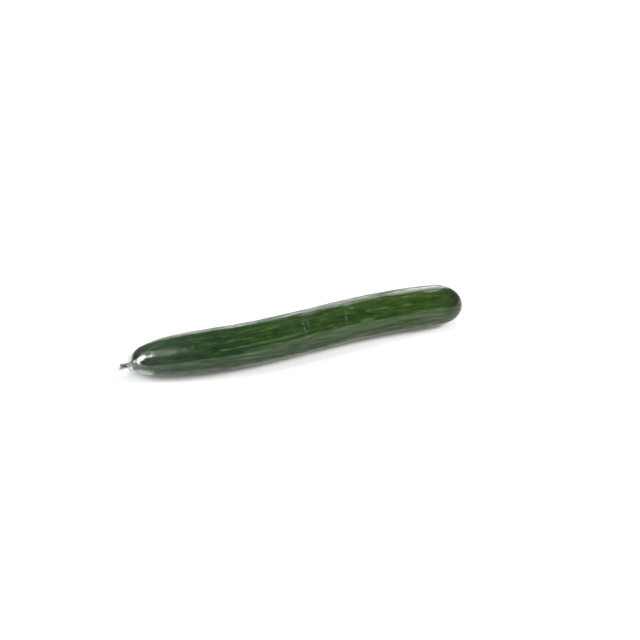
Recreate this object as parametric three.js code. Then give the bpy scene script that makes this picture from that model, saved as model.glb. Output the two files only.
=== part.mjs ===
// A long greenhouse cucumber in the clear film that is shrunk round it for sale.
// Millimetres, +Z up. X runs along the fruit, from the stem end (-X) to the blossom end (+X). The floor is
// z = 0, and the origin is on it, in the flat strip that the cucumber lies on, under the fruit's mid length.
// A place along the fruit is s, its distance from the nose, where the stub of the stalk leaves the fruit.
// An angle goes round the fruit from +Y, the back, over the top.

import * as THREE from "three";

// Fruit
const FRUIT_LENGTH = 348.9; // nose to blossom scar, without the stub
const BELLY_RADIUS = 21.65; // over the rib crests at mid length
const BELLY_SWELL = 0.016; // share by which the blossom end is fatter than the stem end
const NOSE_LENGTH = 75; // the stem end rounds in over this length
const NOSE_POWER = 3.5; // how bluntly it does: 2 is an ellipse
const NECK_LENGTH = 100; // the stem half also thins over this length
const NECK_SHARE = 0.21; // by this share of the radius
const TIP_LENGTH = 26; // the blossom end rounds in over this length
const TIP_POWER = 2.25;
const WANE_LENGTH = 46; // the blossom half also thins over this length
const WANE_SHARE = 0.16; // by this share of the radius
const WAISTS = [
  { at: 184, depth: 0.5 },
  { at: 226, depth: 0.25 },
]; // rings where the fruit grew thinner
const WAIST_WIDTH = 8;
const RIB_COUNT = 12; // low blunt ribs along the fruit
const RIB_DEPTH = 0.7; // from crest to furrow
const RIB_STRAY = 0.06; // angle by which a rib wanders to either side
const RIB_STRAY_LENGTH = 47; // s over which it does
const SCAR_RADIUS = 2.6; // floor of the dimple where the blossom was
const SCAR_DEPTH = 1.3;

// Stub of the stalk: s and radius from its root to its cut end
const STUB_OUTLINE = [
  [0.15, 3.9],
  [-1.2, 2.7],
  [-3.5, 2.15],
  [-8.5, 1.9],
  [-10.6, 2.1],
  [-11.2, 1.8],
];

// How the cucumber lies: a slack S seen from above, with its ends sunk towards the floor
const BOW = -6; // sideways bend of the whole fruit
const SWAY = -7.7; // sideways S bend
const NOSE_SINK = 6.5; // how far the nose's middle lies below the belly's
const NOSE_SINK_LENGTH = 84;
const TIP_SINK = 1.2;
const TIP_SINK_LENGTH = 50;
const STUB_DROP = 3.7; // how far below the nose's middle the stub and the film's tail leave it
const STUB_DROP_START = 6; // s from which the middle drops
const STUB_DROP_END = -5;
const FLOOR_BITE = 0.5; // how deep the round belly is flattened where it rests

// Film
const FILM_GAP = 0.45; // clear space over the rib crests
const FILM_WALL = 0.4;
const FILM_SAG = 0.25; // how far the film dips into the furrows
const SEAM_ANGLE = THREE.MathUtils.degToRad(37.5); // the lengthwise weld, high on the back
const SEAM_HEIGHT = 0.35;
const GATHER_START = 4; // s where the film leaves the fruit's shoulder
const GATHER_NECK = -4.4; // s where it is drawn tight round the stub
const NECK_RADIUS = 3.3;
const GATHER_WALL = 0.5; // the pleated film is thicker
const GATHER_RINGS = 6;
const GATHER_BULGE = 0.55; // power by which the film swells out between shoulder and neck: 1 is a cone
const GATHER_LOFT = 0.25; // how much lower that power is over the top, where the film stands off further
const PLEAT_COUNT = 12;
const PLEAT_DEPTH = 0.7;
const FRILL_END = -12.6; // s of the film's cut edge, past the stub's end
const FRILL_RADIUS = 3.6;
const FRILL_RISE = 0.5; // how much further up than down the frill reaches
const FRILL_LEAN = 0.8; // how far its top leans back to the nose
const FRILL_WAVES = 6;
const FRILL_DEPTH = 0.5;
const FRILL_RINGS = 6;
const ROSETTE_RADIUS = 12; // shrunk pleats over the blossom scar
const ROSETTE_DEPTH = 0.2;

// Facets
const FRUIT_SIDES = 60;
const FILM_SIDES = 48;
const NOSE_RINGS = 9;
const BELLY_RINGS = 20;
const TIP_RINGS = 7;

const TURN = 2 * Math.PI;
const UP = new THREE.Vector3(0, 0, 1);
const { smoothstep, lerp } = THREE.MathUtils;

// The way the fruit lies ------------------------------------------------------------------------------

// Middle of the section at s.
function middleAt(s) {
  const share = s / FRUIT_LENGTH;
  const left = FRUIT_LENGTH - s;
  const noseSink = NOSE_SINK * Math.max(1 - s / NOSE_SINK_LENGTH, 0) ** 2;
  const tipSink = TIP_SINK * Math.max(1 - left / TIP_SINK_LENGTH, 0) ** 2;
  const drop = STUB_DROP * smoothstep(STUB_DROP_START - s, 0, STUB_DROP_START - STUB_DROP_END);
  return new THREE.Vector3(
    s - FRUIT_LENGTH / 2,
    BOW * (Math.sin(Math.PI * share) - 1) + SWAY * Math.sin(TURN * share),
    BELLY_RADIUS + FILM_GAP + FILM_WALL - FLOOR_BITE - noseSink - tipSink - drop,
  );
}

// One upright ring of points across the fruit at s. radius and lean, the shift along the fruit, go by
// angle. No point lies under the floor.
function ring(s, sides, floor, radius, lean = () => 0) {
  const middle = middleAt(s);
  const ahead = middleAt(s + 0.5).sub(middleAt(s - 0.5)).setZ(0).normalize();
  const side = new THREE.Vector3(-ahead.y, ahead.x, 0);
  return Array.from({ length: sides }, (_, i) => {
    const angle = (TURN * i) / sides;
    const point = middle
      .clone()
      .addScaledVector(side, radius(angle) * Math.cos(angle))
      .addScaledVector(UP, radius(angle) * Math.sin(angle))
      .addScaledVector(ahead, lean(angle));
    point.z = Math.max(point.z, floor);
    return point;
  });
}

// A closed skin over rings of equal count, with a single point at either end.
function closedSkin(firstPoint, rings, lastPoint) {
  const points = [firstPoint, ...rings.flat(), lastPoint];
  const sides = rings[0].length;
  const last = points.length - 1;
  const faces = [];
  for (let i = 0; i < sides; i++) {
    const next = (i + 1) % sides;
    faces.push(0, 1 + next, 1 + i);
    for (let start = 1; start + sides < last; start += sides) {
      faces.push(start + i, start + next, start + sides + i);
      faces.push(start + next, start + sides + next, start + sides + i);
    }
    faces.push(last, last - sides + i, last - sides + next);
  }
  const geometry = new THREE.BufferGeometry().setFromPoints(points);
  geometry.setIndex(faces);
  geometry.computeVertexNormals();
  return geometry;
}

// Girth -----------------------------------------------------------------------------------------------

// How far a blunt end has rounded in, from 0 at its point to 1 where it is full.
const roundedIn = (distance, length, power) =>
  (1 - Math.max(1 - distance / length, 0) ** power) ** (1 / power);

// Share of the radius left where the fruit thins towards an end.
const thinned = (distance, length, share) => 1 - share * Math.max(1 - distance / length, 0) ** 2;

// Radius at s of the round body that lies a distance skin outside the rib crests.
function bodyRadius(s, skin) {
  const left = FRUIT_LENGTH - s;
  const swell = 1 + BELLY_SWELL * (s / FRUIT_LENGTH - 0.5);
  const thin = thinned(s, NECK_LENGTH, NECK_SHARE) * thinned(left, WANE_LENGTH, WANE_SHARE);
  const waist = WAISTS.reduce(
    (sum, { at, depth }) => sum + depth * Math.exp(-(((s - at) / WAIST_WIDTH) ** 2)),
    0,
  );
  const nose = roundedIn(s + skin, NOSE_LENGTH + skin, NOSE_POWER);
  const tip = roundedIn(left + skin, TIP_LENGTH + skin, TIP_POWER);
  return (BELLY_RADIUS * swell * thin - waist + skin) * nose * tip;
}

// How deep the furrow is at s, as a share from 0 on a crest to 1 between two ribs.
const furrowAt = (s, angle) =>
  0.5 - 0.5 * Math.cos(RIB_COUNT * (angle + RIB_STRAY * Math.sin(s / RIB_STRAY_LENGTH)));

// Share of their full height that the ribs have at s.
const ribShare = (s) => smoothstep(s, 0, 45) * smoothstep(FRUIT_LENGTH - s, 0, 30);

// Places of the rings on a body's round ends and belly, close together where it curves.
function bodyPlaces(skin) {
  const endPlace = (i, count, length, power) => {
    const slant = Math.cos(((Math.PI / 2) * i) / count);
    return (length + skin) * (1 - slant ** (2 / power)) - skin;
  };
  const places = [];
  for (let i = 1; i <= NOSE_RINGS; i++) {
    places.push(endPlace(i, NOSE_RINGS, NOSE_LENGTH, NOSE_POWER));
  }
  for (let i = 1; i < BELLY_RINGS; i++) {
    places.push(lerp(NOSE_LENGTH, FRUIT_LENGTH - TIP_LENGTH, i / BELLY_RINGS));
  }
  for (let i = TIP_RINGS; i >= 1; i--) {
    places.push(FRUIT_LENGTH - endPlace(i, TIP_RINGS, TIP_LENGTH, TIP_POWER));
  }
  return places;
}

// Cucumber --------------------------------------------------------------------------------------------

function cucumberFruit() {
  const floor = FILM_GAP + FILM_WALL;
  const rings = STUB_OUTLINE.toReversed().map(([s, radius]) => ring(s, FRUIT_SIDES, floor, () => radius));
  for (const s of bodyPlaces(0)) {
    const crest = bodyRadius(s, 0);
    const depth = RIB_DEPTH * ribShare(s);
    rings.push(ring(s, FRUIT_SIDES, floor, (angle) => crest - depth * furrowAt(s, angle)));
  }
  rings.push(ring(FRUIT_LENGTH - SCAR_DEPTH, FRUIT_SIDES, floor, () => SCAR_RADIUS));
  const cutEnd = middleAt(STUB_OUTLINE.at(-1)[0]);
  const scar = middleAt(FRUIT_LENGTH - SCAR_DEPTH);
  return new THREE.Mesh(
    closedSkin(cutEnd, rings, scar),
    new THREE.MeshStandardMaterial({ color: "#36502b", roughness: 0.45, metalness: 0 }),
  );
}

// Film ------------------------------------------------------------------------------------------------

// One ring of the film where it hugs the fruit. It dips a little into the furrows, is pleated over the
// blossom scar, and carries the ridge of its weld on its outer face.
function huggingRing(s, skin, weld) {
  const body = bodyRadius(s, skin);
  const sag = FILM_SAG * ribShare(s);
  const rosette = ROSETTE_DEPTH * smoothstep(ROSETTE_RADIUS - body, 0, ROSETTE_RADIUS / 2);
  const atTip = s > FRUIT_LENGTH / 2 ? rosette : 0;
  return ring(s, FILM_SIDES, FILM_GAP + FILM_WALL - skin, (angle) => {
    const onWeld = Math.abs(angle - SEAM_ANGLE) < TURN / FILM_SIDES / 2;
    const pleat = atTip * (1 + Math.cos(PLEAT_COUNT * angle));
    return body - sag * furrowAt(s, angle) + pleat + (onWeld ? weld : 0);
  });
}

// One ring of the film past the shoulder: a pleated cone down to the neck round the stub, then a frill
// that opens wider to its cut edge. inset is 0 on the outer face and the wall on the inner one.
function gatheredRing(s, inset) {
  const shoulder = bodyRadius(GATHER_START, FILM_GAP + FILM_WALL);
  const cone = Math.max((s - GATHER_NECK) / (GATHER_START - GATHER_NECK), 0);
  const frill = Math.max((GATHER_NECK - s) / (GATHER_NECK - FRILL_END), 0) ** 3;
  const pleats = PLEAT_DEPTH * cone * (1 - cone) * 2;
  const radius = (angle) =>
    NECK_RADIUS +
    (shoulder - NECK_RADIUS) * cone ** (GATHER_BULGE - GATHER_LOFT * Math.sin(angle)) +
    pleats * (1 + Math.cos(PLEAT_COUNT * angle)) +
    frill * (FRILL_RADIUS - NECK_RADIUS + FRILL_RISE * Math.sin(angle)) +
    frill * FRILL_DEPTH * Math.sin(FRILL_WAVES * angle) -
    inset;
  return ring(s, FILM_SIDES, 0, radius, (angle) => frill * FRILL_LEAN * Math.sin(angle));
}

// All rings of one face of the film, from its cut edge to the blossom scar.
function filmFace(skin, inset, weld) {
  const rings = [];
  for (let i = 0; i < FRILL_RINGS; i++) {
    rings.push(gatheredRing(lerp(FRILL_END, GATHER_NECK, i / FRILL_RINGS), inset));
  }
  for (let i = 0; i < GATHER_RINGS; i++) {
    rings.push(gatheredRing(lerp(GATHER_NECK, GATHER_START, (i / GATHER_RINGS) ** 2), inset));
  }
  for (const s of bodyPlaces(skin).filter((place) => place > GATHER_START)) {
    rings.push(huggingRing(s, skin, weld));
  }
  return rings;
}

function shrinkFilm() {
  const innerSkin = FILM_GAP;
  const outerSkin = FILM_GAP + FILM_WALL;
  const inner = filmFace(innerSkin, GATHER_WALL, 0);
  const outer = filmFace(outerSkin, 0, SEAM_HEIGHT);
  return new THREE.Mesh(
    closedSkin(
      middleAt(FRUIT_LENGTH + innerSkin),
      [...inner.reverse(), ...outer],
      middleAt(FRUIT_LENGTH + outerSkin),
    ),
    new THREE.MeshStandardMaterial({
      color: "#dfe6e0",
      roughness: 0.12,
      metalness: 0,
      transparent: true,
      opacity: 0.25,
    }),
  );
}

const group = new THREE.Group();
for (const [name, mesh] of Object.entries({
  cucumber_fruit: cucumberFruit(),
  shrink_film: shrinkFilm(),
})) {
  mesh.name = name;
  group.add(mesh);
}

export default group;
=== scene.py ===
import math

import bpy
import numpy as np
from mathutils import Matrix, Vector


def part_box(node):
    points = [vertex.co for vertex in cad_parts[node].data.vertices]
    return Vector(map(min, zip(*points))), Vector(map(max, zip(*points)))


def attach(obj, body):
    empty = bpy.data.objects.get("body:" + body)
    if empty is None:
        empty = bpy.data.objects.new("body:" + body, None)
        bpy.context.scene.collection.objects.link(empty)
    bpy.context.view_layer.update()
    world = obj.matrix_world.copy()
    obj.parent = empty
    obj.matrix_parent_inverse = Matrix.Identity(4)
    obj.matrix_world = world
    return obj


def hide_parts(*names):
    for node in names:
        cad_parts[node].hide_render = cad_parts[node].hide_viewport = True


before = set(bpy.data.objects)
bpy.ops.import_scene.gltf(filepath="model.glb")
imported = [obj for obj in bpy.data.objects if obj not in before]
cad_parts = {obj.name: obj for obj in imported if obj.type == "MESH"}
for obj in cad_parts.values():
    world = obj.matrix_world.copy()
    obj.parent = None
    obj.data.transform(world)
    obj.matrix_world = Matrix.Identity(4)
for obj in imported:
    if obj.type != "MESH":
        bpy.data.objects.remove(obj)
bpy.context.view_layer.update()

scene = bpy.context.scene

# Camera --------------------------------------------------------------------------------------------------
# A view through a long lens, from a standing shopper's height: the stem end is a little nearer than the
# blossom end, and the whole cucumber lies in the middle of a wide pale surround.

VIEW_AZIMUTH = math.radians(-16.7)
VIEW_ELEVATION = math.radians(33)
VIEW_DISTANCE = 1.2
LENS_MM, SENSOR_WIDTH_MM = 65.9, 36
AIM_ASIDE = 0.0166  # the aim passes this far to the right of the origin, as the camera sees it
AIM_ABOVE = 0.0298  # and this far above it

towards_camera = Vector((
    math.sin(VIEW_AZIMUTH) * math.cos(VIEW_ELEVATION),
    -math.cos(VIEW_AZIMUTH) * math.cos(VIEW_ELEVATION),
    math.sin(VIEW_ELEVATION),
))
view_right = Vector((math.cos(VIEW_AZIMUTH), math.sin(VIEW_AZIMUTH), 0))
view_up = towards_camera.cross(view_right)
camera = bpy.data.objects.new("camera", bpy.data.cameras.new("camera"))
camera.data.lens = LENS_MM
camera.data.sensor_width = SENSOR_WIDTH_MM
camera.location = view_right * AIM_ASIDE + view_up * AIM_ABOVE + towards_camera * VIEW_DISTANCE
camera.rotation_euler = (-towards_camera).to_track_quat("-Z", "Y").to_euler()
scene.collection.objects.link(camera)
scene.camera = camera
scene.view_settings.view_transform = "Standard"

# Floor and studio light ----------------------------------------------------------------------------------
# White seamless paper on a shooting table, lit through from below, so that shadows stay thin. Large
# softboxes stand behind the cucumber and to its right. Two panels at the stem end show in shiny faces
# alone, three fills light matt faces alone, and the camera's side is dark but for a reflector.

FLOOR_HALF_WIDTH = 6.0
PURE_WHITE, PAPER_WHITE = "#FFFFFF", "#FAFAF8"
PAPER_ROUGHNESS = 0.9
PAPER_GLOW = 0.08  # light through the paper, as a share of full white
ROOM_GREY = 0.14  # what the dark side of the studio gives back
BACKDROP_WHITE = 1.0  # what a level view shows beyond the paper


def linear(hex_colour):
    """Linear RGBA of an sRGB hex colour: each channel through the sRGB curve."""
    parts = [int(hex_colour[i:i + 2], 16) / 255 for i in (1, 3, 5)]
    return tuple(p / 12.92 if p <= 0.04045 else ((p + 0.055) / 1.055) ** 2.4 for p in parts) + (1.0,)


def add_node(tree, kind, settings, **inputs):
    """Adds a node, sets its properties from settings, and fills each input with a value or a link. An
    input's underscores stand for spaces, and in_0 is the input with that number."""
    made = tree.nodes.new(kind)
    for name, value in settings.items():
        setattr(made, name, value)
    for name, value in inputs.items():
        socket = made.inputs[int(name[3:]) if name.startswith("in_") else name.replace("_", " ")]
        if isinstance(value, bpy.types.NodeSocket):
            tree.links.new(value, socket)
        else:
            socket.default_value = value
    return made


def new_material(name):
    """An empty node material and its tree."""
    material = bpy.data.materials.new(name)
    material.use_nodes = True
    material.node_tree.nodes.clear()
    return material, material.node_tree


floor_mesh = bpy.data.meshes.new("paper_floor")
floor_mesh.from_pydata(
    [(x * FLOOR_HALF_WIDTH, y * FLOOR_HALF_WIDTH, 0) for x, y in ((-1, -1), (1, -1), (1, 1), (-1, 1))],
    [], [(0, 1, 2, 3)],
)
paper_floor = bpy.data.objects.new("paper_floor", floor_mesh)
scene.collection.objects.link(paper_floor)
# Seamless background paper: uncoated and matt, so it gives back an even white from every side.
paper, tree = new_material("seamless_paper")
paper_face = add_node(tree, "ShaderNodeBsdfDiffuse", {}, Color=linear(PAPER_WHITE), Roughness=PAPER_ROUGHNESS)
paper_glow = add_node(tree, "ShaderNodeEmission", {}, Color=linear(PAPER_WHITE), Strength=PAPER_GLOW)
lit_paper = add_node(tree, "ShaderNodeAddShader", {}, in_0=paper_face.outputs[0], in_1=paper_glow.outputs[0])
add_node(tree, "ShaderNodeOutputMaterial", {}, Surface=lit_paper.outputs[0])
floor_mesh.materials.append(paper)


def softbox(name, place, aim, width, height, radiance, lights=True, mirrored=True):
    """An even rectangular panel of light at place that faces aim. Its power is pi times its area times
    the radiance of its face. The camera doesn't see it. It lights matt faces, shows in shiny ones, or
    both."""
    lamp = bpy.data.lights.new(name, "AREA")
    lamp.shape = "RECTANGLE"
    lamp.size, lamp.size_y = width, height
    lamp.energy = math.pi * width * height * radiance
    panel = bpy.data.objects.new(name, lamp)
    panel.location = place
    panel.rotation_euler = (Vector(aim) - Vector(place)).to_track_quat("-Z", "Y").to_euler()
    panel.visible_camera, panel.visible_diffuse, panel.visible_glossy = False, lights, mirrored
    scene.collection.objects.link(panel)


def towards(azimuth, elevation, distance):
    """The place at a compass angle to the right of straight behind the cucumber, an elevation and a
    distance, in degrees and metres from the origin."""
    azimuth, elevation = math.radians(azimuth), math.radians(elevation)
    level = distance * math.cos(elevation)
    return level * math.sin(azimuth), level * math.cos(azimuth), distance * math.sin(elevation)


softbox("back_wall", (0.37, 2.4, 0.23), (0.37, 0, 0.23), 1.7, 0.45, 0.7)
softbox("back_softbox", (0.14, 2.4, 1.28), (0.14, 0, 1.28), 1.24, 1.65, 2.6)
softbox("back_side", (0.99, 2.4, 1.28), (0.99, 0, 1.28), 0.46, 1.65, 1.4)
softbox("right_softbox", (0.66, 0.90, 0.88), (0, 0, 0.88), 0.46, 1.37, 4.0)
softbox("left_softbox", (-1.385, -0.236, 0.74), (-0.17, 0, 0.0), 0.66, 1.25, 5.0, lights=False)
softbox("left_glint", (-1.312, -0.351, 0.751), (-0.165, 0, 0.03), 0.3, 1.0, 34.0, lights=False)
softbox("left_reflector", towards(-129, 47, 2.2), (0, 0, 0), 1.0, 1.0, 2.2)
softbox("overhead_fill", (0.4, 0.9, 1.9), (0.1, 0.25, 0), 1.6, 1.6, 1.5, mirrored=False)
softbox("left_fill", towards(-80, 30, 1.5), (-0.17, 0, 0), 0.66, 1.25, 7.4, mirrored=False)
softbox("right_fill", towards(107, 28, 1.5), (0, 0, 0), 0.5, 0.5, 37.0, mirrored=False)

world = bpy.data.worlds.new("studio")
world.use_nodes = True
tree = world.node_tree
tree.nodes.clear()
seen = add_node(tree, "ShaderNodeLightPath", {}).outputs["Is Camera Ray"]
room = add_node(tree, "ShaderNodeBackground", {}, Color=linear(PURE_WHITE), Strength=ROOM_GREY)
beyond = add_node(tree, "ShaderNodeBackground", {}, Color=linear(PURE_WHITE), Strength=BACKDROP_WHITE)
either = add_node(tree, "ShaderNodeMixShader", {}, in_0=seen, in_1=room.outputs[0], in_2=beyond.outputs[0])
add_node(tree, "ShaderNodeOutputWorld", {}, Surface=either.outputs[0])
scene.world = world

# Cucumber ------------------------------------------------------------------------------------------------
# A greenhouse cucumber, grown as one piece: dark green waxy skin over a dozen low blunt ribs, with pale
# streaks along it, a blunt nose that ends in a short dry stub of stalk, and a blossom scar. It is a
# surface round a bent middle line, from the stub's cut end to the scar.

# Lengths are in millimetres. s is how far along the middle line a place is, from the nose towards the
# blossom scar, and an angle goes round the line from the back over the top. Names that end in _s hold
# such places, and names that end in _r hold radii.
MM = 0.001
FRUIT_LENGTH = 348.9  # nose to blossom scar, without the stub
BELLY_RADIUS = 21.65  # over the rib crests at mid length
BELLY_SWELL = 0.016  # share by which it is thicker at the blossom end than at the stem end
NOSE_LENGTH, NOSE_POWER = 75, 3.5  # the blunt stem end, a superellipse of this power
NECK_LENGTH, NECK_SHARE = 100, 0.21  # it thins by this share towards the stem end
TIP_LENGTH, TIP_POWER = 26, 2.25  # the round blossom end, in the same way
WANE_LENGTH, WANE_SHARE = 46, 0.16
NEAREST_SLANT = 0.05  # first ring of an end, as a share of the slant from its point to where it is full
WAISTS = ((184, 0.5), (226, 0.25))  # where the fruit grew thinner, and by how much
WAIST_WIDTH = 8
RIB_COUNT, RIB_DEPTH, RIB_CHANGE = 12, 0.7, 0.2  # furrows change slowly in depth, by the last share
RIB_STRAY, RIB_STRAY_LENGTH = 0.06, 47
RIB_FADE_NOSE, RIB_FADE_TIP = 45, 30  # how far from each end the ribs fade out
STUB_END, STUB_ROOT = -11.2, 0.15
STUB_RADIUS, STUB_ROOT_RADIUS, STUB_CUT_RADIUS = 1.9, 3.9, 2.1
STUB_FLARE = 1.3  # how fast its root spreads into the fruit
CUT_BURR, CUT_BURR_WIDTH, CUT_DISH = 0.7, 0.9, 0.25  # the thick rim behind the cut, and the dished cut
CUT_RINGS = (0.12, 0.35, 0.6, 0.8, 0.93)  # shares of the cut's radius
SCAR_RADIUS, SCAR_DEPTH = 2.6, 1.3
SCAR_RINGS = ((1.2, 0.75), (1.0, 1.0), (0.7, 1.05), (0.35, 1.0), (0, 0.95))  # shares of the two

BOW, SWAY = -6, -7.7  # sideways bends
NOSE_SINK, NOSE_SINK_LENGTH = 6.5, 84
TIP_SINK, TIP_SINK_LENGTH = 1.2, 50
STUB_DROP, STUB_DROP_START, STUB_DROP_END = 3.7, 6, -5
FLOOR_BITE = 0.5  # how much of the belly's round is pressed flat on the floor
FILM_GAP, FILM_WALL = 0.45, 0.4  # clear space over the rib crests, and the film's own thickness
MOST_PROUD = 0.12  # no skin stands further out than this over the crests, so it stays clear of the film

FRUIT_SIDES = 240
STUB_RINGS, NOSE_RINGS, BELLY_RINGS, TIP_RINGS = 26, 70, 206, 46
LUMP_HEIGHT = 0.16  # slow unevenness of the grown skin
STUB_FADE, NOSE_FADE, TIP_FADE = 1.5, 3, 4  # lengths in which stub turns to skin, and skin to scar
SHOULDER_START, SHOULDER_RAMP, SHOULDER_LENGTH = 0.1, 4, 22
SHOULDER_FOLDS, SHOULDER_FOLD_DEPTH = 16, 0.22  # creases that run together at the stalk
STALK_EDGES, STALK_EDGE_HEIGHT = 5, 0.12  # a cucumber's stalk is five-sided
STREAKS_IN_VIEW = (  # angle in degrees, s from and to, and strength
    (131, 52, 152, 0.7), (150, 68, 172, 0.8), (171, 55, 145, 0.7), (128, 162, 212, 0.6),
    (157, 158, 216, 0.6), (132, 224, 300, 0.7), (156, 214, 262, 0.5), (113, 120, 210, 0.5),
    (122, 292, 344, 0.6), (139, 316, 345, 0.8), (186, 90, 200, 0.5), (184, 250, 330, 0.6),
)
STREAKS_ELSEWHERE, STREAK_SPACING = 64, 360 / 31  # how many, and degrees from one to the next
STREAK_WIDTH, STREAK_FADE = 1.9, 18
STREAK_RISE = 0.05  # a streak stands this much proud of the skin


def smooth_step(share):
    """The S curve 3x^2 - 2x^3 of a share held between 0 and 1."""
    share = np.clip(share, 0, 1)
    return share * share * (3 - 2 * share)


def middle_at(s):
    """Middle of the section at s: one bow and one S sideways, level over the belly, sunk as a square law
    towards both ends, and dropped by a smooth step where the stalk leaves it."""
    share = s / FRUIT_LENGTH
    sink = (
        NOSE_SINK * np.maximum(1 - s / NOSE_SINK_LENGTH, 0) ** 2
        + TIP_SINK * np.maximum(1 - (FRUIT_LENGTH - s) / TIP_SINK_LENGTH, 0) ** 2
    )
    drop = STUB_DROP * smooth_step((STUB_DROP_START - s) / (STUB_DROP_START - STUB_DROP_END))
    belly = BELLY_RADIUS + FILM_GAP + FILM_WALL - FLOOR_BITE
    sideways = BOW * (np.sin(np.pi * share) - 1) + SWAY * np.sin(2 * np.pi * share)
    return s - FRUIT_LENGTH / 2, sideways, belly - sink - drop


def wrapped(s, angle, radius, lean, floor):
    """Points at a radius and an angle round the middle line, where each ring stands upright and square to
    the line seen from above, shifted along it by lean. Points under the floor are lifted to it."""
    x, y, z = middle_at(s)
    slope = middle_at(s + 0.5)[1] - middle_at(s - 0.5)[1]
    ahead_x, ahead_y = 1 / np.hypot(1, slope), slope / np.hypot(1, slope)
    aside = radius * np.cos(angle)
    return np.stack([
        x - aside * ahead_y + lean * ahead_x,
        y + aside * ahead_x + lean * ahead_y,
        np.maximum(z + radius * np.sin(angle), floor),
    ], -1)


def body_radius(s, skin):
    """Radius at s of the round body that lies a distance skin outside the rib crests: superellipse ends,
    square-law thinning towards both, and a bell-shaped waist at each place that grew thinner."""
    left = FRUIT_LENGTH - s
    swell = 1 + BELLY_SWELL * (s / FRUIT_LENGTH - 0.5)
    neck = 1 - NECK_SHARE * np.maximum(1 - s / NECK_LENGTH, 0) ** 2
    wane = 1 - WANE_SHARE * np.maximum(1 - left / WANE_LENGTH, 0) ** 2
    waist = sum(depth * np.exp(-(((s - at) / WAIST_WIDTH) ** 2)) for at, depth in WAISTS)
    nose_share = np.clip(1 - (s + skin) / (NOSE_LENGTH + skin), 0, 1)
    tip_share = np.clip(1 - (left + skin) / (TIP_LENGTH + skin), 0, 1)
    nose = (1 - nose_share ** NOSE_POWER) ** (1 / NOSE_POWER)
    tip = (1 - tip_share ** TIP_POWER) ** (1 / TIP_POWER)
    return (BELLY_RADIUS * swell * neck * wane - waist + skin) * nose * tip


def end_places(count, length, power, skin):
    """Places on a blunt end from near its point to where it is full, at even steps of slant."""
    slant = np.cos(np.linspace(NEAREST_SLANT, 1, count) * np.pi / 2)
    return (length + skin) * (1 - slant ** (2 / power)) - skin


def furrow_at(s, angle):
    """How deep the furrow is, from 0 on a rib's crest to 1 between two, with the ribs' slow stray."""
    return 0.5 - 0.5 * np.cos(RIB_COUNT * (angle + RIB_STRAY * np.sin(s / RIB_STRAY_LENGTH)))


def rib_share(s):
    """Share of their full height that the ribs have at s: they fade out at both ends."""
    return smooth_step(s / RIB_FADE_NOSE) * smooth_step((FRUIT_LENGTH - s) / RIB_FADE_TIP)


def slow_waves(s, angle, height, shortest, most_turns, count, seed):
    """A sum of sine waves in s and angle, one to three times the shortest length, with whole numbers of
    turns and of random phase. It closes on itself round the fruit and mostly stays within the height."""
    rng = np.random.default_rng(seed)
    total = 0
    for _ in range(count):
        length = shortest * (1 + 2 * rng.random())
        turns = rng.integers(-most_turns, most_turns + 1)
        total = total + np.sin(2 * np.pi * s / length + turns * angle + rng.random() * 2 * np.pi)
    return height * total / count ** 0.5 / 1.5


def turned_to(angle, centre):
    """Angle from a centre, between minus and plus half a turn."""
    return (angle - centre + np.pi) % (2 * np.pi) - np.pi


def closed_skin(name, rings, first, last, **kept):
    """A mesh object over a grid of rings in millimetres, with one more point closing each end. It keeps
    the other grids of vectors that are given as point attributes of the same names."""
    rows, sides = rings.shape[:2]
    points = np.concatenate([first[None], rings.reshape(-1, 3), last[None]]) * MM
    here = 1 + np.arange(rows * sides).reshape(rows, sides)
    beside = np.roll(here, -1, axis=1)
    quads = np.stack([here[:-1], beside[:-1], beside[1:], here[1:]], -1).reshape(-1, 4)
    start = np.zeros(sides, int)
    fans = np.concatenate([
        np.stack([start, beside[0], here[0]], -1),
        np.stack([start + rows * sides + 1, here[-1], beside[-1]], -1),
    ])
    mesh = bpy.data.meshes.new(name)
    mesh.vertices.add(len(points))
    mesh.vertices.foreach_set("co", points.ravel())
    mesh.loops.add(quads.size + fans.size)
    mesh.loops.foreach_set("vertex_index", np.concatenate([quads.ravel(), fans.ravel()]))
    mesh.polygons.add(len(quads) + len(fans))
    quad_starts = np.arange(len(quads)) * 4
    fan_starts = quads.size + np.arange(len(fans)) * 3
    mesh.polygons.foreach_set("loop_start", np.concatenate([quad_starts, fan_starts]))
    mesh.update(calc_edges=True)
    mesh.validate()
    for kept_name, grid in kept.items():
        values = np.concatenate([grid[0].mean(0)[None], grid.reshape(-1, 3), grid[-1].mean(0)[None]])
        mesh.attributes.new(kept_name, "FLOAT_VECTOR", "POINT").data.foreach_set("vector", values.ravel())
    mesh.shade_smooth()
    made = bpy.data.objects.new(name, mesh)
    scene.collection.objects.link(made)
    return made


def middle_point(s):
    """The middle line's point at one s."""
    return np.array([float(v) for v in middle_at(s)])


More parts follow.
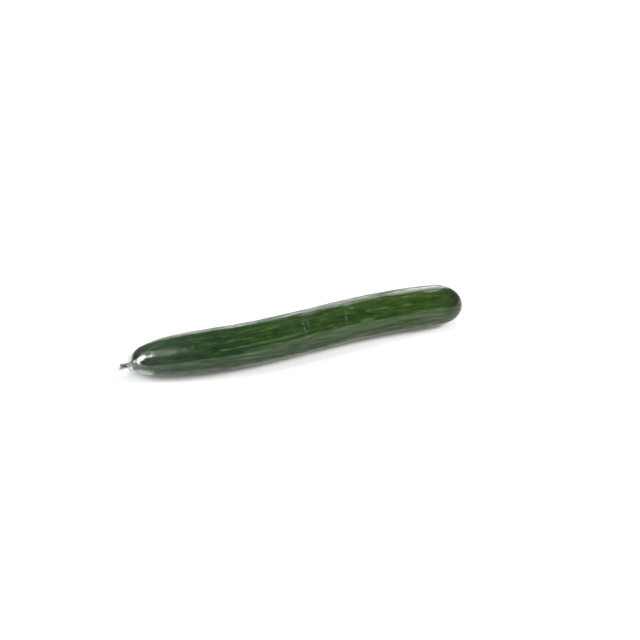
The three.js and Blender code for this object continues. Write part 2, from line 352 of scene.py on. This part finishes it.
def pale_streaks(s, angle):
    """Strength from 0 to 1 of the pale streaks: each is a bell across and fades in and out along, on a
    line that wanders as two slow waves, and its strength wavers. Those not in the list are random."""
    rng = np.random.default_rng(21)
    starts = rng.uniform(15, 300, STREAKS_ELSEWHERE)
    lengths = rng.uniform(20, 100, STREAKS_ELSEWHERE)
    angles = (np.arange(STREAKS_ELSEWHERE) + rng.uniform(-0.3, 0.3, STREAKS_ELSEWHERE)) * STREAK_SPACING
    others = zip(angles, starts, starts + lengths, rng.uniform(0.2, 0.6, STREAKS_ELSEWHERE))
    total = 0
    for centre, from_s, to_s, strength in (*STREAKS_IN_VIEW, *others):
        wander = 0.02 * np.sin(s / 23 + rng.random() * 6) + 0.008 * np.sin(s / 6.1 + rng.random() * 6)
        aside = BELLY_RADIUS * turned_to(angle, math.radians(centre) + wander)
        width = STREAK_WIDTH * rng.uniform(0.6, 1.3)
        fade = smooth_step((s - from_s) / STREAK_FADE) * smooth_step((to_s - s) / STREAK_FADE)
        waver = 0.75 + 0.25 * np.sin(s / 4.3 + rng.random() * 6) * np.sin(s / 11 + rng.random() * 6)
        total = total + strength * (fade * waver) * np.exp(-((aside / width) ** 2))
    return np.clip(total, 0, 1)


turn = np.linspace(0, 2 * np.pi, FRUIT_SIDES, endpoint=False)[None, :]
cut_share = np.array(CUT_RINGS)
stub_s = np.linspace(STUB_END, STUB_ROOT, STUB_RINGS)
stub_r = (
    STUB_RADIUS
    + (STUB_ROOT_RADIUS - STUB_RADIUS) * np.exp((stub_s - STUB_ROOT) / STUB_FLARE)
    + (STUB_CUT_RADIUS - STUB_RADIUS) * np.exp(-(((stub_s - STUB_END - CUT_BURR) / CUT_BURR_WIDTH) ** 2))
)
body_s = np.concatenate([
    end_places(NOSE_RINGS, NOSE_LENGTH, NOSE_POWER, 0),
    np.linspace(NOSE_LENGTH, FRUIT_LENGTH - TIP_LENGTH, BELLY_RINGS)[1:-1],
    FRUIT_LENGTH - end_places(TIP_RINGS, TIP_LENGTH, TIP_POWER, 0)[::-1],
])
scar_r = SCAR_RADIUS * np.array(SCAR_RINGS)[:, 0]
scar_s = FRUIT_LENGTH - SCAR_DEPTH * np.array(SCAR_RINGS)[:, 1]
fruit_s = np.concatenate([STUB_END + CUT_DISH * (1 - cut_share ** 2), stub_s, body_s, scar_s[:-1]])[:, None]
crest_r = np.concatenate([cut_share * stub_r[0], stub_r, body_radius(body_s, 0), scar_r[:-1]])[:, None]
on_body = smooth_step(fruit_s / NOSE_FADE) * smooth_step((FRUIT_LENGTH - fruit_s) / TIP_FADE)
on_stub = smooth_step(1 - fruit_s / STUB_FADE)

rib_change = 1 - RIB_CHANGE + RIB_CHANGE * np.sin(3 * turn + 1 + fruit_s / 90)
rib_depth = RIB_DEPTH * rib_change * rib_share(fruit_s)
lumps = slow_waves(fruit_s, turn, LUMP_HEIGHT, shortest=13, most_turns=4, count=14, seed=3) * on_body
shoulder_end = smooth_step(1 - fruit_s / SHOULDER_LENGTH)
on_shoulder = shoulder_end * smooth_step((fruit_s - SHOULDER_START) / SHOULDER_RAMP)
shoulder_waves = 0.5 - 0.5 * np.cos(SHOULDER_FOLDS * turn + 0.8 * np.sin(3 * turn))
stalk_edges = STALK_EDGE_HEIGHT * on_stub * np.cos(STALK_EDGES * turn) * (crest_r / STUB_RADIUS).clip(0, 1)
streaks = pale_streaks(fruit_s, turn) * on_body
grown_r = (
    crest_r - rib_depth * furrow_at(fruit_s, turn) - SHOULDER_FOLD_DEPTH * on_shoulder * shoulder_waves
    - lumps + stalk_edges + STREAK_RISE * streaks
)
fruit_r = np.minimum(grown_r, crest_r + MOST_PROUD)

# the skin's patterns follow each point's place on a straight fruit, and two marks: streaks and stalk
fruit = closed_skin(
    "cucumber", wrapped(fruit_s, turn, fruit_r, 0, FILM_GAP + FILM_WALL),
    middle_point(STUB_END + CUT_DISH), middle_point(scar_s[-1]),
    unbent=MM * np.stack([fruit_s + 0 * turn, crest_r * np.cos(turn), crest_r * np.sin(turn)], -1),
    marks=np.stack([streaks, on_stub + 0 * turn, 0 * streaks], -1),
)

# Waxed cucumber skin: a dark green cuticle as grown, deeper at the stem end and yellower at the blossom end,
# with fine streaks, flecks and darker shades, and pale streaks where it stretched. Round the scar it is dark
# grey, partly dry scar tissue and partly painted shade, more on its upper side. The film clings to it, so
# its own satin shine is weak: hence the low IOR.
STEM_GREEN, BLOSSOM_GREEN = "#1A321E", "#293D0F"
STREAK_GREEN, FINE_STREAK_GREEN = "#58733C", "#385622"
FLECK_GREEN, SHADE_GREEN = "#4F6B3A", "#14260F"
# dry scar tissue, deepened by painted shade
SCAR_AND_SHADE_GREY = "#1C1F1D"
STALK_BROWN, STALK_GREY = "#625C51", "#A19D92"
YELLOWING = (50, 300)  # from where to where stem green gives way to blossom green
# the dry scar and the painted shade round it
SCAR_AND_SHADE_PATCH, SCAR_AND_SHADE_RISE = (322, 338), (-4, 10)  # where it darkens, along and up from the middle line
FINE_STREAK_MM, FINE_STREAK_STRETCH = 2.5, 0.1  # the real ones are finer, and wouldn't show
SHADE_MM, SHADE_STRETCH = 3.2, 0.16
FLECK_MM, MOTTLE_MM = 1.6, 9
SKIN_IOR = 1.1
SKIN_RELIEF_MM = 0.2

skin, tree = new_material("waxed_cucumber_skin")
grown = add_node(tree, "ShaderNodeAttribute", {"attribute_name": "unbent"}).outputs["Vector"]
marked = add_node(tree, "ShaderNodeAttribute", {"attribute_name": "marks"}).outputs["Vector"]
streak, stalk, _ = add_node(tree, "ShaderNodeSeparateXYZ", {}, Vector=marked).outputs
along, _, upward = add_node(tree, "ShaderNodeSeparateXYZ", {}, Vector=grown).outputs

long_streaks = add_node(
    tree, "ShaderNodeMapping", {}, Vector=grown, Scale=(FINE_STREAK_STRETCH, 1, 1)
).outputs[0]
fine_streaks = add_node(
    tree, "ShaderNodeTexNoise", {}, Vector=long_streaks, Scale=1 / (FINE_STREAK_MM * MM), Detail=3.0,
    Roughness=0.6,
).outputs["Fac"]
long_shades = add_node(
    tree, "ShaderNodeMapping", {}, Vector=grown, Scale=(SHADE_STRETCH, 1, 1)
).outputs[0]
shades = add_node(
    tree, "ShaderNodeTexNoise", {}, Vector=long_shades, Scale=1 / (SHADE_MM * MM), Detail=3.0, Roughness=0.6
).outputs["Fac"]
flecks = add_node(
    tree, "ShaderNodeTexNoise", {}, Vector=grown, Scale=1 / (FLECK_MM * MM), Detail=1.0, Roughness=0.5
).outputs["Fac"]
mottle = add_node(
    tree, "ShaderNodeTexNoise", {}, Vector=grown, Scale=1 / (MOTTLE_MM * MM), Detail=4.0, Roughness=0.6
).outputs["Fac"]

blossom_share = add_node(
    tree, "ShaderNodeMapRange", {}, Value=along, From_Min=YELLOWING[0] * MM, From_Max=YELLOWING[1] * MM,
    To_Min=0.0, To_Max=1.0,
).outputs[0]
fine_share = add_node(
    tree, "ShaderNodeMapRange", {}, Value=fine_streaks, From_Min=0.42, From_Max=0.68, To_Min=0.0, To_Max=0.8
).outputs[0]
fleck_share = add_node(
    tree, "ShaderNodeMapRange", {}, Value=flecks, From_Min=0.52, From_Max=0.7, To_Min=0.0, To_Max=0.35
).outputs[0]
shade_share = add_node(
    tree, "ShaderNodeMapRange", {}, Value=shades, From_Min=0.32, From_Max=0.56, To_Min=0.6, To_Max=0.0
).outputs[0]
ragged = add_node(tree, "ShaderNodeMath", {"operation": "ADD"}, in_0=streak, in_1=fine_streaks).outputs[0]
streak_share = add_node(
    tree, "ShaderNodeMapRange", {"interpolation_type": "SMOOTHSTEP"}, Value=ragged, From_Min=0.8,
    From_Max=1.45, To_Min=0.0, To_Max=0.9,
).outputs[0]

# the dark patch, partly dry scar tissue and partly painted shade: near the scar, more on its upper side as
# painted shade, and broken up by the fine streaks
near_scar = add_node(
    tree, "ShaderNodeMapRange", {}, Value=along, From_Min=SCAR_AND_SHADE_PATCH[0] * MM, From_Max=SCAR_AND_SHADE_PATCH[1] * MM,
    To_Min=0.0, To_Max=1.0,
).outputs[0]
above = add_node(
    tree, "ShaderNodeMapRange", {}, Value=upward, From_Min=SCAR_AND_SHADE_RISE[0] * MM,
    From_Max=SCAR_AND_SHADE_RISE[1] * MM, To_Min=0.55, To_Max=1.0,
).outputs[0]
broken = add_node(
    tree, "ShaderNodeMapRange", {}, Value=fine_streaks, From_Min=0.3, From_Max=0.6, To_Min=0.6, To_Max=1.0
).outputs[0]
scar_and_shade_reach = add_node(tree, "ShaderNodeMath", {"operation": "MULTIPLY"}, in_0=near_scar, in_1=above).outputs[0]
scar_and_shade_share = add_node(
    tree, "ShaderNodeMath", {"operation": "MULTIPLY"}, in_0=scar_and_shade_reach, in_1=broken
).outputs[0]

stalk_ramp = add_node(tree, "ShaderNodeValToRGB", {}, Fac=mottle)
for stop, (position, stalk_shade) in zip(
    stalk_ramp.color_ramp.elements, ((0.35, STALK_BROWN), (0.65, STALK_GREY))
):
    stop.position, stop.color = position, linear(stalk_shade)

# each colour is laid on the ones before it by its share
skin_colour = linear(STEM_GREEN)
for share, colour in (
    (blossom_share, linear(BLOSSOM_GREEN)), (fine_share, linear(FINE_STREAK_GREEN)),
    (fleck_share, linear(FLECK_GREEN)), (shade_share, linear(SHADE_GREEN)),
    (streak_share, linear(STREAK_GREEN)), (scar_and_shade_share, linear(SCAR_AND_SHADE_GREY)),
    (stalk, stalk_ramp.outputs["Color"]),
):
    skin_colour = add_node(
        tree, "ShaderNodeMix", {"data_type": "RGBA"}, in_0=share, in_6=skin_colour, in_7=colour
    ).outputs[2]
skin_roughness = add_node(
    tree, "ShaderNodeMapRange", {}, Value=mottle, From_Min=0.3, From_Max=0.7, To_Min=0.34, To_Max=0.5
).outputs[0]
skin_bump = add_node(
    tree, "ShaderNodeBump", {}, Strength=0.5, Distance=SKIN_RELIEF_MM * MM, Height=fine_streaks
).outputs[0]
skin_face = add_node(
    tree, "ShaderNodeBsdfPrincipled", {}, Base_Color=skin_colour, Roughness=skin_roughness, IOR=SKIN_IOR,
    Normal=skin_bump,
)
add_node(tree, "ShaderNodeOutputMaterial", {}, Surface=skin_face.outputs[0])
fruit.data.materials.append(skin)
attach(fruit, "root")
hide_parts("cucumber_fruit")

# Shrink film ---------------------------------------------------------------------------------------------
# One sheet of clear polyethylene film, welded lengthwise into a sleeve and shrunk tight with hot air. It
# puckers over the blossom end, and at the stem end it is drawn into pleats and a short open tail.

FILM_SIDES = 220
INNER_RINGS, OUTER_RINGS = (10, 40, 20, 14), (24, 190, 80, 30)  # over the tail, belly, nose and tip
FILM_SAG = 0.25  # how far it is drawn into the furrows between the ribs
SEAM_ANGLE, SEAM_SPREAD, SEAM_HEIGHT = math.radians(37.5), 0.03, 0.35  # the weld's bead
GATHER_START, GATHER_NECK = 4, -4.4  # from where to where it draws in round the stub
NECK_RADIUS, GATHER_WALL = 3.3, 0.5
GATHER_BULGE, GATHER_LOFT = 0.55, 0.25  # power of the gather's round, and how much fuller it is on top
PLEAT_COUNT, PLEAT_DEPTH = 12, 0.7
FRILL_END, FRILL_RADIUS, FRILL_RISE, FRILL_LEAN = -12.6, 3.6, 0.5, 0.8
FRILL_WAVES, FRILL_DEPTH = 6, 0.5
ROSETTE_RADIUS, ROSETTE_DEPTH = 12, 0.2

RING_WRINKLES = (171.5, 176, 215.5, 219)  # s where the film gathered into rings as it shrank
RING_CLOSENESS, RING_SPAN = 6, 1.6  # how much closer the mesh's rings are there, and over what length
SUM_STEPS = 4000  # of the running sum that places those rings
CREASES_IN_VIEW = (  # s, angle, half length, half width, slant in degrees, height
    # the flat dents along the top
    (290, 112, 7, 2.4, 18, -0.3), (285, 122, 5, 1.2, 60, 0.3),
    (49, 84, 4, 1.1, 6, -0.3), (73, 95, 5, 1.1, 4, -0.3), (94, 80, 3.5, 1.0, -5, -0.3),
    (105, 81, 5, 1.1, 4, -0.3), (121, 78, 4, 1.0, -6, -0.3), (140, 80, 7, 1.1, 3, -0.3),
    (205, 90, 7, 1.3, 4, -0.3), (236, 95, 5, 1.2, -12, -0.3),
    # the two broken ring wrinkles, and the crumpled film where they run out
    (171.6, 113, 4, 0.3, 94, 0.2), (170.7, 127, 3, 0.3, 84, 0.26), (171.4, 143, 4, 0.3, 80, 0.24),
    (171.9, 162, 5, 0.3, 88, 0.24), (175.8, 118, 3, 0.3, 96, 0.22), (175.6, 133, 3.5, 0.3, 88, 0.24),
    (168, 174, 2, 0.4, 35, 0.4), (172, 184, 2.2, 0.6, -50, 0.35), (177, 181, 2, 0.4, 60, 0.4),
    (178.5, 195, 2.5, 0.6, -35, 0.35), (175, 206, 2.5, 0.6, 30, 0.35),
    (218.6, 104, 4, 0.3, 80, 0.22), (216.8, 124, 3.5, 0.3, 86, 0.28), (216, 139, 4, 0.3, 84, 0.28),
    (215, 154, 4, 0.3, 92, 0.26), (213.8, 165, 2, 0.4, 40, 0.4), (216, 177, 2.2, 0.4, -55, 0.4),
    (214.5, 187, 2, 0.6, 45, 0.35), (219, 201, 2.5, 0.6, 70, 0.35), (221, 214, 2.5, 0.6, -30, 0.35),
    # the slack fold along the side of the nose, and the two near the blossom end
    (28, 173, 17, 3, 15, 0.9), (58, 172, 16, 3, 15, 0.3), (90, 170, 16, 3, 15, 0.2),
    (274, 163, 13, 2.2, 15, 0.2), (311, 152, 16, 3.5, 15, 0.45),
    # small sharp puckers
    (116.5, 119, 1.6, 0.6, 10, 0.3), (124.5, 121, 1.8, 0.6, -8, 0.3), (37, 137, 1.6, 0.4, 75, 0.4),
    (43.5, 135, 1.8, 0.4, 60, 0.45), (41, 147, 1.6, 0.5, -70, 0.3), (49, 131, 1.5, 0.4, 80, 0.4),
    (53, 137, 1.6, 0.4, -75, 0.4), (57, 128, 1.4, 0.5, 70, 0.3), (64, 134, 1.5, 0.4, -80, 0.35),
    (223, 118, 1.8, 0.7, 70, 0.35), (270, 160, 3, 0.7, 12, 0.25), (280, 154, 4, 0.7, -10, 0.25),
    (296, 150, 4, 0.7, 40, 0.3), (300, 146, 4, 0.7, -40, 0.3), (257, 160, 3, 0.7, 20, 0.25),
)
CREASES_ELSEWHERE = 320
CREASE_BEND, CREASE_BEND_PACE = 0.12, 2.2  # it strays by this share of its half length, as such a sine
# a crease's white is partly stress whitening and partly a painted glint
CREASE_HAZE_GLINT_SPREAD = 1.8  # its haze is this much wider than its ridge
CURL_START, CURL_SPAN = 1.2, 1.5  # curl at which film begins to turn milky, and from there to all milky
FILM_LUMP_HEIGHT, FILM_LUMP_FADE = 0.13, 8  # it is uneven, but not close to the blossom scar
FILM_RAMP = 6  # it takes up that and the creases within this length from the neck
LAYERS_END, LAYERS_FADE = 14, 12  # the film lies in several layers from its gathered end to here
LOOSE_START, LOOSE_RAMP, LOOSE_END = 4, 14, 85  # it lies loosely over the nose, less and less to the end
BUNCHED_ANGLE, BUNCHED_END, BUNCHED_FADE = math.radians(230), 21, 9  # it is bunched up under the nose
BUNCHED_RAMP, BUNCHED_EDGE, BUNCHED_EDGE_FADE = 4, 0.68, 0.2  # the edges are cosines from that angle
# on the creases the milky share is partly a painted glint
LOOSE_HAZE, BUNCHED_HAZE, CREASE_HAZE_AND_GLINT = 0.014, 0.28, 0.15  # share of the film that looks milky in each
NOSE_PLEATS, NOSE_PLEAT_HEIGHT, NOSE_PLEAT_RAMP, NOSE_PLEAT_END = 15, 0.35, 5, 26
DEEPEST_DENT, HIGHEST_FOLD = -0.3, 1.0

film_turn = np.linspace(0, 2 * np.pi, FILM_SIDES, endpoint=False)[None, :]


def film_places(belly_count, nose_count, tip_count, skin):
    """Places of the rings where the film hugs the fruit: at even steps of a running sum, which grows
    faster by a bell at each ring wrinkle, so they are closer together there."""
    fine = np.linspace(NOSE_LENGTH, FRUIT_LENGTH - TIP_LENGTH, SUM_STEPS)
    close = 1 + sum(RING_CLOSENESS * np.exp(-(((fine - at) / RING_SPAN) ** 2)) for at in RING_WRINKLES)
    passed = np.cumsum(close)
    belly = np.interp(np.linspace(passed[0], passed[-1], belly_count), passed, fine)
    places = np.concatenate([
        end_places(nose_count, NOSE_LENGTH, NOSE_POWER, skin), belly[1:-1],
        FRUIT_LENGTH - end_places(tip_count, TIP_LENGTH, TIP_POWER, skin)[::-1],
    ])
    return places[places > GATHER_START][:, None]


def crease_heights(s, angle):
    """Height of the film's creases, and how white they are from 0 to 1, partly stress whitening and partly
    painted glints. Each is a bell across and a flat-topped bell along a slightly bent line on the unrolled
    film. It turns white with its curl, which is its height over its width squared. Those not in the list are
    random and denser near the nose."""
    rng = np.random.default_rng(8)
    many = CREASES_ELSEWHERE
    places, centres = 8 + (FRUIT_LENGTH - 20) * rng.random(many) ** 1.5, rng.uniform(0, 360, many)
    lengths, widths = rng.uniform(0.8, 4, many), rng.uniform(0.45, 0.8, many)
    slants, heights = rng.normal(0, 50, many), rng.uniform(-0.2, 0.35, many)
    others = zip(places, centres, lengths, widths, slants, heights)
    total, curl = 0, 0
    for place, centre, length, width, slant, height in (*CREASES_IN_VIEW, *others):
        ahead, aside = s - place, BELLY_RADIUS * turned_to(angle, math.radians(centre))
        cosine, sine = math.cos(math.radians(slant)), math.sin(math.radians(slant))
        lengthwise = ahead * cosine + aside * sine
        bend = CREASE_BEND * length * np.sin(CREASE_BEND_PACE * lengthwise / length)
        across = aside * cosine - ahead * sine + bend
        ends = np.exp(-((lengthwise / length) ** 4))
        total = total + height * ends * np.exp(-((across / width) ** 2))
        curl = curl + abs(height) / width ** 2 * ends * np.exp(-((across / width / CREASE_HAZE_GLINT_SPREAD) ** 2))
    return total, smooth_step((curl - CURL_START) / CURL_SPAN)


def film_unevenness(s, angle):
    """How far the film stands out from its even shape: slow lumps, creases, and pleats that fan out from
    the gathered end over the nose, each the cube of a raised cosine, unevenly wide and high."""
    fan = smooth_step(1 - s / NOSE_PLEAT_END) * smooth_step((s - GATHER_NECK) / NOSE_PLEAT_RAMP)
    uneven = angle + 0.12 * np.sin(3 * angle + 1) + 0.05 * np.sin(7 * angle)
    pleats = (0.5 + 0.5 * np.cos(NOSE_PLEATS * uneven)) ** 3 * (0.7 + 0.3 * np.sin(2 * angle))
    waves = slow_waves(s, angle, FILM_LUMP_HEIGHT, shortest=12, most_turns=7, count=22, seed=5)
    lumps = waves * smooth_step((FRUIT_LENGTH - s) / FILM_LUMP_FADE)
    on_fruit = smooth_step((s - GATHER_NECK) / FILM_RAMP)
    heights = (lumps + crease_heights(s, angle)[0]) * on_fruit + NOSE_PLEAT_HEIGHT * fan * pleats
    return np.clip(heights, DEEPEST_DENT, HIGHEST_FOLD)


def film_face(skin, inset, weld, tail_count, belly_count, nose_count, tip_count):
    """Points of one face of the film, row by row from its cut edge to the blossom scar. The frill flares
    from the neck to the cut edge by a cube, and the gather swells from the neck to the fruit by a power,
    with pleats as raised cosines. From there it hugs the fruit, with the weld as a bell."""
    tail_s = np.concatenate([
        np.linspace(FRILL_END, GATHER_NECK, tail_count, endpoint=False),
        GATHER_NECK + (GATHER_START - GATHER_NECK) * np.linspace(0, 1, tail_count, endpoint=False) ** 2,
    ])[:, None]
    shoulder = body_radius(GATHER_START, FILM_GAP + FILM_WALL)
    cone = np.maximum((tail_s - GATHER_NECK) / (GATHER_START - GATHER_NECK), 0)
    frill = np.maximum((GATHER_NECK - tail_s) / (GATHER_NECK - FRILL_END), 0) ** 3
    even_r = (
        NECK_RADIUS
        + (shoulder - NECK_RADIUS) * cone ** (GATHER_BULGE - GATHER_LOFT * np.sin(film_turn))
        + PLEAT_DEPTH * cone * (1 - cone) * 2 * (1 + np.cos(PLEAT_COUNT * film_turn))
        + frill * (FRILL_RADIUS - NECK_RADIUS + FRILL_RISE * np.sin(film_turn))
        + frill * FRILL_DEPTH * np.sin(FRILL_WAVES * film_turn)
        - inset
    )
    tail_r = even_r + film_unevenness(tail_s, film_turn)
    tail = wrapped(tail_s, film_turn, tail_r, frill * FRILL_LEAN * np.sin(film_turn), 0)

    hug_s = film_places(belly_count, nose_count, tip_count, skin)
    round_r = body_radius(hug_s, skin)
    puckered = smooth_step((ROSETTE_RADIUS - round_r) / (ROSETTE_RADIUS / 2))
    rosette = np.where(hug_s > FRUIT_LENGTH / 2, ROSETTE_DEPTH * puckered, 0)
    hug_r = (
        round_r - FILM_SAG * rib_share(hug_s) * furrow_at(hug_s, film_turn)
        + rosette * (1 + np.cos(PLEAT_COUNT * film_turn))
        + weld * np.exp(-(((film_turn - SEAM_ANGLE) / SEAM_SPREAD) ** 2))
        + film_unevenness(hug_s, film_turn)
    )
    hug = wrapped(hug_s, film_turn, hug_r, 0, FILM_GAP + FILM_WALL - skin)
    return np.concatenate([tail, hug])


# one closed surface: the inner face back to the cut edge, then the outer face forward again
inner_face = film_face(FILM_GAP, GATHER_WALL, 0, *INNER_RINGS)
outer_face = film_face(FILM_GAP + FILM_WALL, 0, SEAM_HEIGHT, *OUTER_RINGS)
low, high = (np.array(corner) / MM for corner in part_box("shrink_film"))  # no fold stands out of its room
film_rings = np.clip(np.concatenate([inner_face[::-1], outer_face]), low, high)
film_s = film_rings[..., 0] + FRUIT_LENGTH / 2
film_angle = film_turn + 0 * film_s

# where it lies in layers and mirrors more, and where it is creased, loose or bunched up and so milky; on
# the creases the milky white is partly a painted glint
layered = smooth_step((LAYERS_END - film_s) / LAYERS_FADE)
creased = crease_heights(film_s, film_turn)[1]
# the creases' white, partly a painted glint
creased[:len(inner_face)] = 0  # milky on the outer face alone
under = smooth_step((np.cos(film_turn - BUNCHED_ANGLE) - BUNCHED_EDGE) / BUNCHED_EDGE_FADE)
near_neck = smooth_step((BUNCHED_END - film_s) / BUNCHED_FADE)
bunched = under * near_neck * smooth_step((film_s - GATHER_NECK) / BUNCHED_RAMP)
loose = smooth_step((LOOSE_END - film_s) / LOOSE_END) * smooth_step((film_s - LOOSE_START) / LOOSE_RAMP)
film = closed_skin(
    "clear_film", film_rings,
    middle_point(FRUIT_LENGTH + FILM_GAP), middle_point(FRUIT_LENGTH + FILM_GAP + FILM_WALL),
    folds=np.stack([layered, CREASE_HAZE_AND_GLINT * creased, LOOSE_HAZE * loose + BUNCHED_HAZE * bunched], -1),
    unbent=MM * np.stack([film_s, BELLY_RADIUS * np.cos(film_angle), BELLY_RADIUS * np.sin(film_angle)], -1),
)

# Polyethylene film: clear and glossy, drawn into fine lines along the fruit, with patches of small
# wrinkles, and milky where it is creased or bunched. On the creases the milky white is partly stress
# whitening and partly a painted glint. Its two faces together mirror what one face of a film that clings
# to wet skin does, and more towards the edge, by Schlick's fifth power.
FACE_ON, EDGE_ON = 0.02, 0.68  # shares mirrored straight on, and added at a grazing angle
LAYERED_ADDS = 0.045  # added where the film lies in several layers
FILM_ROUGHNESS = 0.03
WRINKLE_MM, WRINKLE_HEIGHT_MM = 2.6, 0.22  # the real wrinkles and lines are finer, and wouldn't show
LINE_MM, LINE_HEIGHT_MM, LINE_STRETCH = 2.3, 0.1, 0.09
PATCH_MM = 22
# the milky white also paints glints on the creases
CLEAR_TINT, LAYERED_TINT, MILKY_AND_GLINT_WHITE = "#FEFEFE", "#F1F2F2", "#EAF1EF"

film_material, tree = new_material("shrunk_polyethylene_film")
on_film = add_node(tree, "ShaderNodeAttribute", {"attribute_name": "unbent"}).outputs["Vector"]
folded = add_node(tree, "ShaderNodeAttribute", {"attribute_name": "folds"}).outputs["Vector"]
in_layers, crease_white_and_glint, soft_haze = add_node(tree, "ShaderNodeSeparateXYZ", {}, Vector=folded).outputs

long_lines = add_node(tree, "ShaderNodeMapping", {}, Vector=on_film, Scale=(LINE_STRETCH, 1, 1)).outputs[0]
lines = add_node(
    tree, "ShaderNodeTexNoise", {}, Vector=long_lines, Scale=1 / (LINE_MM * MM), Detail=2.0, Roughness=0.5
).outputs["Fac"]
wrinkles = add_node(
    tree, "ShaderNodeTexNoise", {}, Vector=on_film, Scale=1 / (WRINKLE_MM * MM), Detail=2.0, Roughness=0.5
).outputs["Fac"]
patches = add_node(
    tree, "ShaderNodeTexNoise", {}, Vector=on_film, Scale=1 / (PATCH_MM * MM), Detail=1.0, Roughness=0.5
).outputs["Fac"]
wrinkled = add_node(
    tree, "ShaderNodeMapRange", {"interpolation_type": "SMOOTHSTEP"}, Value=patches, From_Min=0.42,
    From_Max=0.62, To_Min=0.1, To_Max=1.0,
).outputs[0]
patchy = add_node(tree, "ShaderNodeMath", {"operation": "MULTIPLY"}, in_0=wrinkles, in_1=wrinkled).outputs[0]
relief = add_node(
    tree, "ShaderNodeMath", {"operation": "MULTIPLY_ADD"}, in_0=lines,
    in_1=LINE_HEIGHT_MM / WRINKLE_HEIGHT_MM, in_2=patchy,
).outputs[0]
film_bump = add_node(
    tree, "ShaderNodeBump", {}, Strength=1.0, Distance=WRINKLE_HEIGHT_MM * MM, Height=relief
).outputs[0]

# how much it mirrors: its own share by angle and layers, parted by the fine lines
facing = add_node(tree, "ShaderNodeLayerWeight", {}, Blend=0.5, Normal=film_bump).outputs["Facing"]
grazing = add_node(tree, "ShaderNodeMath", {"operation": "POWER"}, in_0=facing, in_1=5.0).outputs[0]
straight_on = add_node(
    tree, "ShaderNodeMath", {"operation": "MULTIPLY_ADD"}, in_0=in_layers, in_1=LAYERED_ADDS, in_2=FACE_ON
).outputs[0]
one_film = add_node(
    tree, "ShaderNodeMath", {"operation": "MULTIPLY_ADD"}, in_0=grazing, in_1=EDGE_ON, in_2=straight_on
).outputs[0]
parted = add_node(
    tree, "ShaderNodeMapRange", {}, Value=lines, From_Min=0.32, From_Max=0.68, To_Min=0.4, To_Max=1.5
).outputs[0]
mirrored = add_node(
    tree, "ShaderNodeMath", {"operation": "MULTIPLY", "use_clamp": True}, in_0=one_film, in_1=parted
).outputs[0]
let_through = add_node(
    tree, "ShaderNodeMix", {"data_type": "RGBA"}, in_0=in_layers, in_6=linear(CLEAR_TINT),
    in_7=linear(LAYERED_TINT),
).outputs[2]
see_through = add_node(tree, "ShaderNodeBsdfTransparent", {}, Color=let_through).outputs[0]
gloss = add_node(
    tree, "ShaderNodeBsdfAnisotropic", {}, Color=linear(PURE_WHITE), Roughness=FILM_ROUGHNESS,
    Normal=film_bump,
).outputs[0]
clear_face = add_node(
    tree, "ShaderNodeMixShader", {}, in_0=mirrored, in_1=see_through, in_2=gloss
).outputs[0]

# how milky it is: evenly along the creases, where the white is partly a painted glint, and in grains where
# it is loose or bunched up
grain = add_node(
    tree, "ShaderNodeMapRange", {}, Value=wrinkles, From_Min=0.32, From_Max=0.68, To_Min=0.1, To_Max=1.9
).outputs[0]
milky_and_glint_share = add_node(
    tree, "ShaderNodeMath", {"operation": "MULTIPLY_ADD"}, in_0=soft_haze, in_1=grain, in_2=crease_white_and_glint
).outputs[0]
milky_and_glint_face = add_node(tree, "ShaderNodeBsdfDiffuse", {}, Color=linear(MILKY_AND_GLINT_WHITE)).outputs[0]
film_surface = add_node(
    tree, "ShaderNodeMixShader", {}, in_0=milky_and_glint_share, in_1=clear_face, in_2=milky_and_glint_face
).outputs[0]
add_node(tree, "ShaderNodeOutputMaterial", {}, Surface=film_surface)
film.data.materials.append(film_material)
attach(film, "root")
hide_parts("shrink_film")
